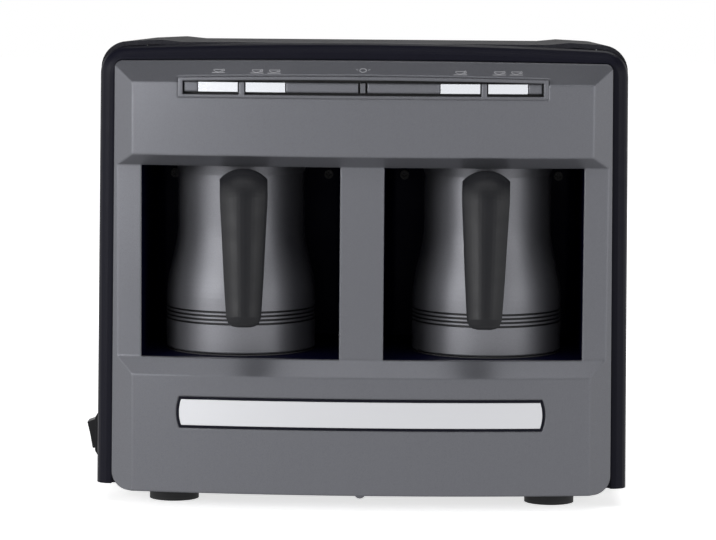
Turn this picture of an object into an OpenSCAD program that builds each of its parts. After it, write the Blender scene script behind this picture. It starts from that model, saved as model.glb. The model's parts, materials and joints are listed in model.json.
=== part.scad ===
// Electric Turkish coffee maker with two pots side by side.
// Millimetres. +Z is up, the front faces -Y, and +X is to the right seen from the front.
// The origin is on the table, at the centre of the four feet.

/* [Casing] */
// Width of the casing, half-way up its sides
case_w = 275; // [270:0.5:300]
// Depth, from the front of the panel to the back of the casing
case_d = 225; // [220:1:250]
// Height of the rim above the table, at its middle
case_h = 241.1; // [239:0.1:260]
// Thickness of the casing's walls
wall = 2.5; // [2:0.1:3]
// Slope of the side walls from upright, in degrees
draft = 0.5; // [0.2:0.1:0.8]
// Radius of the upper corners
corner_r = 14; // [11:0.5:18]
// Radius of the arch along the top of the rim
rim_crown_r = 2770; // [2200:10:5000]
// Radius of the arch over the casing's two shoulders
shoulder_crown_r = 2250; // [1600:10:3000]
// Fall of the casing's top towards the back, in degrees
top_fall = 1.2; // [0.8:0.1:1.6]
// Width of the flat tray in the casing's top
tray_w = 190; // [170:1:200]
// Height of the shoulders above the tray
shoulder_h = 1; // [0.6:0.1:2]
// Radius of the rounded bead round the rim
bead_r = 7; // [6:0.1:7.2]

/* [Front panel] */
// Distance from the casing's side to the panel's side edge
panel_margin = 8.5; // [8.4:0.1:10]
// Distance from the rim's top to the panel's top edge
panel_top_margin = 8.7; // [8.4:0.1:11]
// How far the panel hangs below the casing
panel_drop = 1.3; // [0.8:0.1:2]
// Depth of the panel, from its front to its back edge
panel_d = 28.5; // [26:0.1:30]
// Thickness of the panel
panel_t = 2.5; // [2:0.1:3]
// Radius of the panel's bow across its width
bow_r = 830; // [700:5:1200]
// Width and depth of the bevels down the panel's sides
side_bevel = 10.6; // [8:0.1:11.5]
// Height and depth of the bevel along the panel's top
top_bevel = 11.5; // [9:0.1:12]
// Radius of the panel's lower corners
panel_low_r = 8.5; // [7:0.5:12]
// Radius of the panel's upper corners
panel_top_r = 3.5; // [2:0.5:5]

/* [Bays] */
// Height of the bays' lower edge above the table
bay_z = 78.7; // [76:0.1:84]
// Width of each bay's opening
bay_w = 102.8; // [98:0.1:104]
// Gap between the pots' rims and the bays' upper edge
bay_headroom = 1.2; // [1:0.1:4]
// Width of the pillar between the bays
pillar_w = 22.6; // [20:0.1:26]
// Depth of a bay, from the pillar's face to the bay's back wall
bay_d = 115; // [112:0.5:122]
// How far the pillar's face lies behind the fascia
bay_recess = 7; // [5:0.1:8]
// Height of the bevel under the fascia
lintel_bevel = 5.9; // [4:0.1:7]
// Height of the bevel over the base
sill_bevel = 8.5; // [6:0.1:10]
// Thickness of the bay liners
liner_t = 1.8; // [1.5:0.1:2.2]
// Radius of the bay liners' rear corners
liner_r = 6; // [4:0.5:8]

/* [Button strip] */
// Length of the button strip
strip_l = 189.4; // [186:0.1:200]
// Distance from the rim's top down to the strip's lower edge
strip_down = 27.6; // [26.5:0.1:30]
// Height of the strip, at its middle
strip_h = 11.3; // [10.8:0.1:12]
// Width of the strip's border along its top
strip_border = 1.7; // [1.4:0.1:1.8]
// Height of a button
button_h = 5; // [4.4:0.1:5.1]
// Width of a button
button_w = 20.2; // [18:0.1:20.6]
// Distance from the middle of the strip to the inner buttons
button_x = 49.8; // [48.5:0.1:50.5]
// Distance from an inner button to the outer button beside it
button_pitch = 24.2; // [23.8:0.1:24.6]
// Travel of a button
button_travel = 0.6; // [0.3:0.1:0.7]

/* [Trim plate] */
// Length of the plate with its bezel
trim_l = 190; // [160:0.1:200]
// Height of the plate with its bezel
trim_h = 16; // [13:0.1:20]
// Height of the plate's middle above the table
trim_z = 51; // [44:0.1:54]
// Width of the bezel round the plate
trim_border = 1.2; // [1:0.1:2]

/* [Pots] */
// Distance from the middle of the machine to each pot's axis
pot_x = 65.1; // [62:0.1:68]
// Distance from the pots' axis to the bays' back walls
pot_back = 60.6; // [58:0.1:62]
// Height of a pot
pot_h = 97.6; // [90:0.1:110]
// Radius of a pot's base
pot_base_r = 39.4; // [38.6:0.1:41]
// Radius of a pot's neck
pot_neck_r = 33.4; // [32:0.1:36]
// Thickness of a pot's wall
pot_t = 1.2; // [0.8:0.1:1.5]
// Height at which the base starts to narrow
flare_z0 = 26; // [25:0.5:32]
// Height at which the neck starts
flare_z1 = 66; // [55:0.5:70]
// How far the left handle turns in towards the middle, in degrees
left_turn = 4.3; // [0:0.1:6]
// How far the right handle turns in towards the middle, in degrees
right_turn = 1.6; // [0:0.1:6]
// Width of a handle at its shoulder
handle_w = 24.4; // [22:0.1:27]
// Thickness of a handle
handle_t = 14; // [12:0.1:15]

/* [Heaters] */
// Radius of a hotplate
hotplate_r = 35; // [33:0.1:36]
// Thickness of a hotplate
hotplate_t = 6.6; // [6:0.1:8]
// Height of a hotplate above the bay's lower edge
hotplate_up = 0.5; // [0.4:0.1:1]
// Radius of the heating element's ring
heater_r = 22; // [18:0.1:23]
// Radius of the heating element's tube
heater_tube_r = 4; // [3:0.1:4.5]

/* [Feet and switch] */
// Height of the casing's lower edge above the table
foot_h = 10.3; // [8:0.1:12]
// Radius of a foot
foot_r = 13; // [10:0.5:14]
// Distance from the casing's sides to the feet's centres
foot_side = 38.5; // [32.5:0.5:57]
// Distance from the front and the back of the machine to the feet's centres
foot_inset = 44.5; // [42.5:0.5:58]
// Length of the switch's bezel, upright
switch_l = 22.6; // [21:0.1:25]
// Width of the switch's bezel
switch_w = 15.6; // [14.5:0.1:17]
// Height of the switch's middle above the table
switch_z = 33.8; // [32:0.1:45]
// Distance from the front of the machine to the switch's middle
switch_back = 48.5; // [47:0.5:75]
// Tilt of the rocker to either side, in degrees
rocker_tilt = 12; // [6:0.5:12]

/* [Hidden] */

$fn = 48;
// Facets of the large, shallow arcs
large_fn = 1440;
// A cut's overrun past the solid that it cuts
over = 1;
// Gap between neighbours that don't move, and running gap of those that do
clear = 0.3;
// Gap between two curved faces that seat on each other, and round the rocker's pins
seat = 0.1;
run_fit = 0.08;

left = -1;
right = 1;

// Casing, front to back and bottom to top
front_y = -case_d / 2;
back_y = case_d / 2;
mid_z = (foot_h + case_h) / 2;
ledge_y = front_y + panel_d;
rim_t = 5;
case_y = ledge_y + rim_t;
foot_x = case_w / 2 - foot_side;
foot_y = case_d / 2 - foot_inset;
bead_lap = 3;
ledge_w = 4;
tray_z = case_h - 0.3;
tray_slope = 10;
shoulder_x = tray_w / 2 + 12;
shoulder_top = tray_z + shoulder_h + pow(shoulder_x, 2) / (2 * shoulder_crown_r);

// Front panel
panel_w = case_w - 2 * panel_margin;
panel_z0 = foot_h - panel_drop;
panel_z1 = case_h - panel_top_margin;
panel_crown_r = 8000;
ridge_x = panel_w / 2 - side_bevel;
ear_x = ridge_x - 2;
lug_r = 3;

// Bays
bay_x = (pillar_w + bay_w) / 2;
plate_z = bay_z + hotplate_up;
bay_top = plate_z + pot_h + bay_headroom;
ear_z = [28, (bay_top + panel_z1) / 2];
pillar_y = front_y + bay_recess;
liner_gap = 0.4;
liner_in_w = bay_w + 2 * liner_gap;
liner_floor = bay_z - 0.5;
liner_top = bay_top + liner_gap;
liner_back = pillar_y + bay_d;
flange_w = 5;

// Button strip, bottom to top and front to back
strip_z = case_h - strip_down;
strip_arch_r = 3700;
strip_top = strip_z + strip_h;
strip_floor = 1.6;
button_z = strip_z + 3;
cap_d = [1, 5];
bezel_d = 7.5;
shroud_t = 1.5;
stem_w = 16;
stem_h = 3.2;
stem_r = 1.5;
lip_t = 1.2;
lens_w = 2.6;
blank_gap = 0.4;
mullion_w = button_pitch - button_w - 2 * 0.6;
board_y = front_y + 19.5;
board_t = 1.6;
switch_cube = 6;
switch_cube_t = 3.5;
post_x = [32, 88];
post_z = strip_z - 5;

// Pots
pot_y = liner_back - pot_back;
pot_floor_t = 3;
pot_edge = 0.7;
groove_z = flare_z0 - 10.5;
groove_pitch = 2.05;
groove_r = 0.55;
rim_flare = 1.2;
lip_h = 5;
spout_r = 9;
spout_h = 14;

// Heaters
seal_r = hotplate_r + 2.4;
carrier_r = seal_r + 1.2;
carrier_flange_r = carrier_r + 8;
plate_bottom = plate_z - hotplate_t;

// Base, back and switch
pan_t = 2.5;
pan_top = foot_h + pan_t;
cover_t = 2.5;
cover_y = back_y - 5;
gland_x = 41.5 - case_w / 2;
gland_z = 32;
gland_r = 3.8;
sheet_t = 1.2;
bulkhead_y = liner_back + liner_t;
bulkhead_foot = 16;
bulkhead_top = 200;
pcb_z = pan_top + 8;
pcb_half = case_w / 2 - 75.5;
pcb_x = pcb_half * [left, right];
pcb_post_x = (pcb_half - 5) * [left, right];
pcb_y = [bulkhead_y + bulkhead_foot + 5, cover_y - 14];
pcb_t = 1.6;
pcb_top = pcb_z + pcb_t;
pcb_mid = (pcb_y[0] + pcb_y[1]) / 2;
switch_y = front_y + switch_back;
switch_bezel_t = 2.4;
switch_d = 16;
hinge_v = 0.5;
pin_r = 1.2;

// Half the width of a form that is w wide half-way up, at height z
function half_w(w, z) = w / 2 + (mid_z - z) * tan(draft);
// Setback of the bowed front at x from the middle
function bow(x) = bow_r - sqrt(bow_r * bow_r - x * x);
// Centre of a corner of radius r, between a side and a crown of radius cr whose top is at z1
function corner(w, z1, cr, r) =
    let (b = tan(draft), a = half_w(w, z1 - cr) - r / cos(draft), q = 1 + b * b,
         u = (a * b + sqrt(a * a * b * b - q * (a * a - pow(cr - r, 2)))) / q)
    [a - b * u, z1 - cr + u];

function arc_points(c, r, a0, a1, steps) =
    [for (i = [0 : steps]) let (a = a0 + (a1 - a0) * i / steps) c + r * [cos(a), sin(a)]];
// Points of a housing's outline, from its lower right over the top to its lower left
function outline_points(w, z0, z1, cr, r_top, r_low) =
    let (c = corner(w, z1, cr, r_top), top = [0, z1 - cr], lean = atan2(c[0], c[1] - top[1]),
         low = [half_w(w, z0 + r_low) - r_low / cos(draft), z0 + r_low],
         half = concat(
             r_low > 0 ? arc_points(low, r_low, -90, draft, 12) : [[half_w(w, z0), z0]],
             arc_points(c, r_top, draft, 90 - lean, 12),
             [for (i = [1 : 10]) let (a = 90 - lean + lean * i / 10) top + cr * [cos(a), sin(a)]]))
    concat(half, [for (i = [len(half) - 2 : -1 : 0]) [-half[i][0], half[i][1]]]);

// ---------- shared shapes ----------

// A shape drawn in x and z, made solid from y0 back to y1
module along_y(y0, y1) {
    translate([0, y1, 0]) rotate([90, 0, 0]) linear_extrude(y1 - y0) children();
}

// Front outline of a housing: sloped sides, rounded corners and an arched top
module outline(w, z0, z1, cr, r_top, r_low) {
    polygon(outline_points(w, z0, z1, cr, r_top, r_low));
}

module panel_outline(grow) {
    outline(panel_w + 2 * grow, panel_z0 - grow, panel_z1 + grow, panel_crown_r,
            panel_top_r + max(grow, -panel_top_r + 0.5), panel_low_r + grow);
}

// The bowed front: everything that lies at least d behind the panel's outer face
module front_form(d) {
    depth_z = [
        [0, panel_z0 - 5], [0, bay_z - sill_bevel], [bay_recess, bay_z], [bay_recess, bay_top],
        [0, bay_top + lintel_bevel], [0, panel_z1 - top_bevel], [top_bevel + 5, panel_z1 + 5],
        [panel_d + 30, panel_z1 + 5], [panel_d + 30, panel_z0 - 5]
    ];
    ridge_y = front_y + bow(ridge_x) + d;
    spread = 60;
    intersection() {
        translate([0, front_y + bow_r, 0])
            rotate_extrude(angle = 24, start = -102, $fn = large_fn)
                polygon([for (p = depth_z) [bow_r - d - p[0], p[1]]]);
        translate([0, 0, panel_z0 - 5])
            linear_extrude(panel_z1 - panel_z0 + 10)
                polygon([
                    [-ridge_x - spread, ridge_y + spread], [-ridge_x + 30, ridge_y - 30],
                    [ridge_x - 30, ridge_y - 30], [ridge_x + spread, ridge_y + spread]
                ]);
    }
}

// A cylinder about the axis of the panel's bow, whose face lies d behind the fascia
module bow_cylinder(d) {
    translate([0, front_y + bow_r, 0]) cylinder(r = bow_r - d, h = case_h, $fn = large_fn);
}

// A shape drawn in x and z, as a bowed slab from d0 to d1 behind the fascia
module bowed(d0, d1) {
    intersection() {
        difference() {
            bow_cylinder(d0);
            bow_cylinder(d1);
        }
        along_y(front_y - 5, ledge_y + 10) children();
    }
}

module span(x0, x1, z0, z1) {
    translate([x0, z0]) square([x1 - x0, z1 - z0]);
}

// A screw whose head's seat is at the origin and whose shank runs along +Z
module screw(head_r, head_h, shank_r, length) {
    difference() {
        translate([0, 0, -head_h]) cylinder(r = head_r, h = head_h);
        for (turn = [0, 90])
            rotate(turn) translate([-head_r * 0.6, -0.4, -head_h - over])
                cube([head_r * 1.2, 0.8, over + head_h / 2]);
    }
    cylinder(r = shank_r, h = length);
}

// A solid through a list of rings that have the same number of points
module skin(rings) {
    n = len(rings[0]);
    last = (len(rings) - 1) * n;
    polyhedron(
        points = [for (ring = rings) each ring],
        faces = concat(
            [[for (i = [n - 1 : -1 : 0]) i]],
            [for (k = [0 : len(rings) - 2], i = [0 : n - 1])
                each [[k * n + i, k * n + (i + 1) % n, (k + 1) * n + i],
                      [k * n + (i + 1) % n, (k + 1) * n + (i + 1) % n, (k + 1) * n + i]]],
            [[for (i = [0 : n - 1]) last + i]]));
}

// ---------- casing ----------

module case_outline(inset) {
    difference() {
        outline(case_w - 2 * inset, foot_h - 12, shoulder_top - inset, shoulder_crown_r - inset,
                corner_r - inset, 0);
        polygon([
            [-tray_w / 2 - inset, tray_z - inset], [tray_w / 2 + inset, tray_z - inset],
            [shoulder_x + inset + 30 * tray_slope, tray_z - inset + 30],
            [-shoulder_x - inset - 30 * tray_slope, tray_z - inset + 30]
        ]);
    }
}

// The casing's form, that much inside its outer face, with its top falling to the back
module case_form(inset, y0, y1) {
    intersection() {
        translate([0, case_y, tray_z]) rotate([-top_fall, 0, 0]) translate([0, -case_y, -tray_z])
            along_y(case_y - 10, back_y + 10) case_outline(inset);
        translate([-case_w, y0, foot_h]) cube([2 * case_w, y1 - y0, case_h + 20]);
    }
}

module rear_casing() {
    color("#1c1c20") difference() {
        union() {
            difference() {
                case_form(0, case_y, back_y);
                case_form(wall, case_y - over, back_y + over);
                translate([-half_w(case_w, foot_h) + wall, case_y - over, foot_h - over])
                    cube([2 * (half_w(case_w, foot_h) - wall), case_d, over + 20]);
            }
            intersection() {
                union() {
                    base_boss_places() cylinder(r = boss_r, h = boss_h);
                    base_boss_places() translate([0, -boss_r, 0])
                        cube([boss_gap + wall, 2 * boss_r, boss_h]);
                    cover_boss_places() translate([0, 0, -boss_h]) {
                        cylinder(r = boss_r, h = boss_h);
                        translate([-boss_r, 0, 0]) cube([2 * boss_r, boss_gap + wall, boss_h]);
                    }
                }
                case_form(wall / 2, case_y, cover_y);
            }
        }
        base_boss_places() translate([0, 0, -over]) cylinder(r = thread_r, h = boss_h);
        cover_boss_places() translate([0, 0, -boss_h + 3]) cylinder(r = thread_r, h = boss_h);
        at_switch() cube([2 * (wall + 5), switch_w - 1.6, switch_l - 1.8], center = true);
    }
}

// Slots and ribs of the back cover and the base pan
slot_w = 3;
slot_l = 64;
slot_pitch = 9;
vent_pitch = 7;
bridge_w = 32;
rib_t = 2;
rib_d = 4;
rib_l = 40;
rib_pitch = 60;

boss_r = 4;
boss_h = 13;
boss_gap = 7;
thread_r = 1.6;
shank_r = 1.5;
head_r = 3;
head_h = 1.8;

// The four bosses inside the casing's sides that the base pan is screwed to
module base_boss_places() {
    x = half_w(case_w, pan_top) - wall - boss_gap;
    for (y = [switch_y + switch_w / 2 + boss_r + 3, cover_y - 14], side = [left, right])
        translate([side * x, y, pan_top]) rotate(side == right ? 0 : 180) children();
}

// The bosses that the back cover is screwed to: their seats face the back
module cover_boss_places() {
    sag = (cover_y - case_y) * tan(top_fall);
    z_top = tray_z - sag - wall - boss_gap;
    x_side = half_w(case_w, mid_z) - wall - boss_gap - 1;
    for (side = [left, right]) {
        for (z = [mid_z - 80, mid_z + 45])
            translate([side * x_side, cover_y, z]) rotate([-90, side * -90, 0]) children();
        translate([side * tray_w / 4, cover_y, z_top]) rotate([-90, 180, 0]) children();
    }
}

function rim_points(d) =
    outline_points(case_w - 2 * d, foot_h, case_h - d, rim_crown_r - d, corner_r - d, 0);
function pocket_points(d) =
    outline_points(panel_w - 2 * d, foot_h, panel_z1 - d, panel_crown_r - d,
                   max(panel_top_r - d, 1), 0);

module rim_frame() {
    // [y, points of the section's line there], round the bead, into the pocket and over the ledge
    lines = concat(
        [[case_y, rim_points(0)]],
        [for (a = [0 : 15 : 90])
            [case_y - bead_lap - bead_r * sin(a), rim_points(bead_r * (1 - cos(a)))]],
        [for (y = [case_y - bead_lap - bead_r, ledge_y]) [y, pocket_points(-clear)]],
        [for (y = [ledge_y, case_y]) [y, pocket_points(ledge_w)]]);
    low_c = [half_w(panel_w, panel_z0 + panel_low_r) - panel_low_r, panel_z0 + panel_low_r];
    color("#17171b") difference() {
        union() {
            skin([for (i = [0 : len(lines[0][1]) - 1])
                [for (line = lines) [line[1][i][0], line[0], line[1][i][1]]]]);
            // bar along the bottom, behind the panel
            translate([-low_c[0] - 8, ledge_y + 0.5, foot_h + 0.4])
                cube([2 * low_c[0] + 16, rim_t - 1, 7]);
            // infill beside the panel's rounded lower corners
            along_y(case_y - bead_lap - bead_r + 1, case_y - 1) for (side = [left, right])
                polygon(concat(
                    [[side * (low_c[0] + 12), foot_h + 4.8], [side * (low_c[0] + 12), foot_h + 0.3]],
                    [for (z = [0.3 : 1.5 : 4.8])
                        let (x = sqrt(pow(panel_low_r + clear, 2) - pow(low_c[1] - foot_h - z, 2)))
                        [side * (low_c[0] + x), foot_h + z]]));
            // ears behind the panel's screw posts
            for (side = [left, right], z = ear_z)
                translate([side > 0 ? ear_x - 6 : -ear_x - 13, ledge_y + 0.2, z - 6])
                    cube([19, rim_t - 0.4, 12]);
        }
        for (side = [left, right], z = ear_z)
            translate([side * ear_x, ledge_y - over, z]) rotate([-90, 0, 0])
                cylinder(r = shank_r + clear, h = rim_t + 2 * over);
    }
}

module back_cover() {
    color("#1c1c20") difference() {
        union() {
            case_form(wall + clear, cover_y, cover_y + cover_t);
            // stiffening ribs on the inside, over the slots
            for (i = [-1 : 1])
                translate([i * rib_pitch - rib_t / 2, cover_y - rib_d, mid_z + 55])
                    cube([rib_t, rib_d + cover_t / 2, rib_l]);
        }
        translate([-case_w, cover_y - 5, foot_h - 20])
            cube([2 * case_w, 20, 20 + pan_t + clear]);
        for (row = [0 : 7], side = [left, right])
            translate([side * (slot_l + bridge_w) / 2 - slot_l / 2, cover_y - over,
                       mid_z - 10 + row * vent_pitch])
                cube([slot_l, cover_t + 2 * over, slot_w]);
        cover_boss_places() translate([0, 0, -over])
            cylinder(r = shank_r + clear, h = cover_t + 2 * over);
        translate([gland_x, cover_y - over, gland_z]) rotate([-90, 0, 0])
            cylinder(r = gland_r + 3, h = cover_t + 2 * over);
    }
}

module cover_screws() {
    color("#8a8a8e") cover_boss_places()
        translate([0, 0, cover_t]) mirror([0, 0, 1]) screw(head_r, head_h, shank_r, 11);
}

module base_pan() {
    y0 = case_y + clear;
    y1 = back_y - wall;
    x = half_w(case_w, foot_h) - wall - clear;
    color("#1c1c20") difference() {
        union() {
            translate([-x, y0, foot_h]) cube([2 * x, y1 - y0, pan_t]);
            // upturned lip along the front
            translate([-x + 10, y0, foot_h]) cube([2 * (x - 10), 2, pan_t + 6]);
            // posts under the power board
            pcb_screw_places() translate([0, 0, foot_h]) cylinder(r = 3.5, h = pcb_z - foot_h);
        }
        for (fx = [left, right], fy = [-1, 1])
            translate([fx * foot_x, fy * foot_y, foot_h - over])
                cylinder(r = foot_stem_r + 0.2, h = pan_t + 2 * over);
        base_boss_places() translate([0, 0, -pan_t - over])
            cylinder(r = shank_r + clear, h = pan_t + 2 * over);
        pcb_screw_places() translate([0, 0, pan_top]) cylinder(r = thread_r, h = pcb_z);
        // air slots
        for (i = [-4 : 4])
            translate([i * slot_pitch - slot_w / 2, case_y + 49, foot_h - over])
                cube([slot_w, 34, pan_t + 2 * over]);
        bulkhead_screw_places() translate([0, 0, -pan_t - over])
            cylinder(r = thread_r, h = pan_t + 2 * over);
    }
}

module pcb_screw_places() {
    for (x = pcb_post_x, y = pcb_y) translate([x, y, 0]) children();
}

module bulkhead_screw_places() {
    x = case_w / 2 - 27.5;
    for (side = [left, right])
        translate([side * x, bulkhead_y + bulkhead_foot / 2 + 1, pan_top]) children();
}

module base_screws() {
    color("#8a8a8e") {
        base_boss_places() translate([0, 0, -pan_t]) screw(head_r, head_h, shank_r, 11);
        bulkhead_screw_places() translate([0, 0, sheet_t])
            mirror([0, 0, 1]) screw(head_r, head_h, shank_r, sheet_t + pan_t - 0.5);
    }
}

// Folded sheet behind the bays that carries their back walls
module bulkhead() {
    x = half_w(case_w, bulkhead_top) - wall - 4;
    color("#9a9ca0") difference() {
        union() {
            translate([-x, bulkhead_y, pan_top]) cube([2 * x, sheet_t, bulkhead_top - pan_top]);
            translate([-x, bulkhead_y, pan_top]) cube([2 * x, bulkhead_foot, sheet_t]);
            translate([-x, bulkhead_y, bulkhead_top - sheet_t]) cube([2 * x, 10, sheet_t]);
        }
        liner_screw_places() translate([0, 0, -over])
            cylinder(r = thread_r, h = 3 * over + sheet_t);
        bulkhead_screw_places() translate([0, 0, -over])
            cylinder(r = shank_r + clear, h = 3 * over + sheet_t);
        // passage for the wires
        translate([-14, bulkhead_y - over, bulkhead_top - 30]) cube([28, 10, 40]);
        for (side = [left, right])
            translate([side * bay_x - 12, bulkhead_y - over, pan_top + 16]) cube([24, 5, 12]);
    }
}

// ---------- feet ----------

foot_stem_r = 3.5;

module foot(side, end) {
    color("#151517") translate([side * foot_x, end * foot_y, 0]) {
        cylinder(r = foot_r, h = foot_h);
        cylinder(r = foot_stem_r, h = pan_top + clear);
        translate([0, 0, pan_top + clear])
            cylinder(r1 = foot_stem_r + 1.2, r2 = foot_stem_r - 1, h = 4);
    }
}

// ---------- front panel ----------

module front_panel() {
    color("#62636b") difference() {
        union() {
            difference() {
                intersection() {
                    along_y(front_y - over, ledge_y) panel_outline(0);
                    front_form(0);
                }
                intersection() {
                    along_y(front_y - over, ledge_y + over) panel_outline(-panel_t);
                    front_form(panel_t);
                }
            }
            // posts for the screws through the rim's ears, and for the control board
            intersection() {
                union() {
                    for (side = [left, right], z = ear_z)
                        translate([side * ear_x, front_y, z]) rotate([-90, 0, 0])
                            cylinder(r = 4, h = panel_d);
                    for (side = [left, right], x = post_x)
                        translate([side * x, front_y, post_z]) rotate([-90, 0, 0])
                            cylinder(r = 3, h = board_y - front_y);
                }
                front_form(panel_t / 2);
            }
            // locating lug under the middle of the lower edge
            translate([0, front_y + 3, panel_z0 + 1.2]) rotate([-90, 0, 0])
                cylinder(r = lug_r, h = 6);
        }
        for (side = [left, right]) {
            along_y(front_y - over, ledge_y + over)
                span(side * bay_x - bay_w / 2, side * bay_x + bay_w / 2, bay_z, bay_top);
            for (z = ear_z)
                translate([side * ear_x, ledge_y - 9, z]) rotate([-90, 0, 0])
                    cylinder(r = thread_r, h = 9 + over);
            for (x = post_x)
                translate([side * x, board_y - 8, post_z]) rotate([-90, 0, 0])
                    cylinder(r = thread_r, h = 8 + over);
        }
        along_y(front_y - over, front_y + panel_d * 0.8) strip_outline(seat);
        difference() {
            along_y(front_y - over, front_y + 15) trim_outline(0.15);
            front_form(trim_pocket);
        }
    }
}

module panel_screws() {
    color("#8a8a8e") for (side = [left, right], z = ear_z)
        translate([side * ear_x, case_y, z]) rotate([90, 0, 0])
            screw(head_r, head_h, shank_r, rim_t + 8);
}

// ---------- button strip ----------

// A band from z0 to z1 at its middle, half_l to either side, with an arched top
module arched(half_l, z0, z1) {
    steps = 12;
    polygon(concat([[-half_l, z0], [half_l, z0]], [for (i = [0 : steps])
        let (x = half_l * (1 - 2 * i / steps))
        [x, z1 - strip_arch_r + sqrt(strip_arch_r * strip_arch_r - x * x)]]));
}

module strip_outline(grow) {
    arched(strip_l / 2 + grow, strip_z - grow, strip_top + grow);
}

strip_in_w = strip_l - 2 * 2.4;
strip_in_top = strip_top - strip_border;

module button_bezel() {
    mullion_x = button_x + button_pitch / 2;
    color("#6c6d75") {
        bowed(0, bezel_d) difference() {
            strip_outline(0);
            arched(strip_in_w / 2, strip_z + strip_floor, strip_in_top);
        }
        bowed(0, bezel_d) for (side = [left, right])
            span(side * mullion_x - mullion_w / 2, side * mullion_x + mullion_w / 2,
                 strip_z + strip_floor / 2, button_z + button_h);
    }
}

module button_shroud() {
    color("#0b0b0d") bowed(bezel_d + seat, bezel_d + seat + shroud_t) difference() {
        span(-strip_l / 2 - 2, strip_l / 2 + 2, strip_z - 1, strip_top - 1);
        for (x = button_places)
            span(x - stem_w / 2 - clear, x + stem_w / 2 + clear, stem_z - clear,
                 stem_z + stem_h + clear);
        span(-lens_w / 2 - seat, lens_w / 2 + seat, button_z - seat, button_z + button_h + seat);
    }
}

stem_z = button_z + (button_h - stem_h) / 2;
button_places = [for (side = [left, right], k = [0, 1]) side * (button_x + k * button_pitch)];

module strip_blanks() {
    inner = [lens_w / 2 + 1.1, button_x - button_w / 2 - blank_gap];
    outer = [button_x + button_pitch + button_w / 2 + blank_gap, strip_in_w / 2 - 0.8];
    color("#6c6d75") bowed(1.5, bezel_d + seat / 2) for (side = [left, right], b = [inner, outer])
        span(min(side * b[0], side * b[1]), max(side * b[0], side * b[1]),
             button_z, button_z + button_h);
}

module light_lens() {
    color("#c9ccd2") bowed(1.3, bezel_d + shroud_t + 1)
        span(-lens_w / 2, lens_w / 2, button_z, button_z + button_h);
    translate([-1.2, front_y + bezel_d + shroud_t, stem_z])
        color("#c9ccd2") cube([2.4, board_y - 1.6 - front_y - bezel_d - shroud_t, stem_h]);
}

// One button: bright cap, stem through the shroud, lip behind it and pin towards its switch
module button(x) {
    lip_d = bezel_d + seat + shroud_t + clear;
    stem_y = front_y + bow(abs(x)) + lip_d;
    color("#d9dade") {
        bowed(cap_d[0], cap_d[1]) span(x - button_w / 2, x + button_w / 2,
                                       button_z, button_z + button_h);
        bowed(cap_d[1] - 0.5, lip_d + 0.5) span(x - stem_w / 2, x + stem_w / 2,
                                                stem_z, stem_z + stem_h);
        bowed(lip_d, lip_d + lip_t) span(x - stem_w / 2 - 1.2, x + stem_w / 2 + 1.2,
                                         stem_z - 0.8, stem_z + stem_h + 0.8);
        translate([x, stem_y, stem_z + stem_h / 2]) rotate([-90, 0, 0])
            cylinder(r = stem_r, h = board_y - switch_cube_t - button_travel - seat - stem_y);
    }
}

module control_board() {
    color("#1d5a36") difference() {
        translate([-strip_l / 2, board_y, post_z - 5])
            cube([strip_l, board_t, strip_top - post_z + 9]);
        for (side = [left, right], x = post_x)
            translate([side * x, board_y - over, post_z]) rotate([-90, 0, 0])
                cylinder(r = shank_r + clear, h = board_t + 2 * over);
    }
}

module key_switches() {
    color("#26262a") for (x = button_places)
        translate([x - switch_cube / 2, board_y - switch_cube_t,
                   stem_z + stem_h / 2 - switch_cube / 2])
            cube([switch_cube, switch_cube_t, switch_cube]);
}

module status_led() {
    color("#e8e4d8") translate([-1.6, board_y - 1.4, stem_z]) cube([3.2, 1.4, stem_h]);
}

module board_screws() {
    color("#8a8a8e") {
        for (side = [left, right], x = post_x)
            translate([side * x, board_y + board_t, post_z]) rotate([90, 0, 0])
                screw(head_r, head_h, shank_r, board_t + 7);
        pcb_screw_places() translate([0, 0, pcb_top]) mirror([0, 0, 1])
            screw(head_r, head_h, shank_r, pcb_t + 6);
    }
}

// ---------- trim plate ----------

trim_pocket = 1.6;
trim_bulge = 1.5;

// A long band with bulged ends
module trim_outline(grow) {
    h = trim_h / 2 + grow;
    end_r = (pow(trim_h / 2, 2) + pow(trim_bulge, 2)) / (2 * trim_bulge) + grow;
    end_a = asin(h / end_r);
    end_x = trim_l / 2 + grow - end_r;
    translate([0, trim_z]) polygon(concat(
        arc_points([end_x, 0], end_r, -end_a, end_a, 10),
        arc_points([-end_x, 0], end_r, 180 - end_a, 180 + end_a, 10)));
}

module plate_bezel() {
    color("#121216") difference() {
        bowed(-0.2, trim_pocket - seat) trim_outline(0);
        bowed(-2, trim_pocket - seat - 0.5) trim_outline(-trim_border);
    }
}

module trim_plate() {
    color("#cfd0d8") bowed(-0.1, trim_pocket - 2 * seat - 0.5) trim_outline(-trim_border - seat);
}

// ---------- bays ----------

module at_bay(side) {
    translate([side * bay_x, 0, 0]) children();
}

// The bay in plan: straight sides, and rounded corners at the back
module bay_plan(grow) {
    w = liner_in_w / 2 + grow;
    r = liner_r + grow;
    translate([-w, front_y]) square([2 * w, liner_back + grow - r - front_y]);
    translate([-w + r, front_y]) square([2 * (w - r), liner_back + grow - front_y]);
    for (side = [left, right]) translate([side * (w - r), liner_back + grow - r]) circle(r = r);
}

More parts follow.
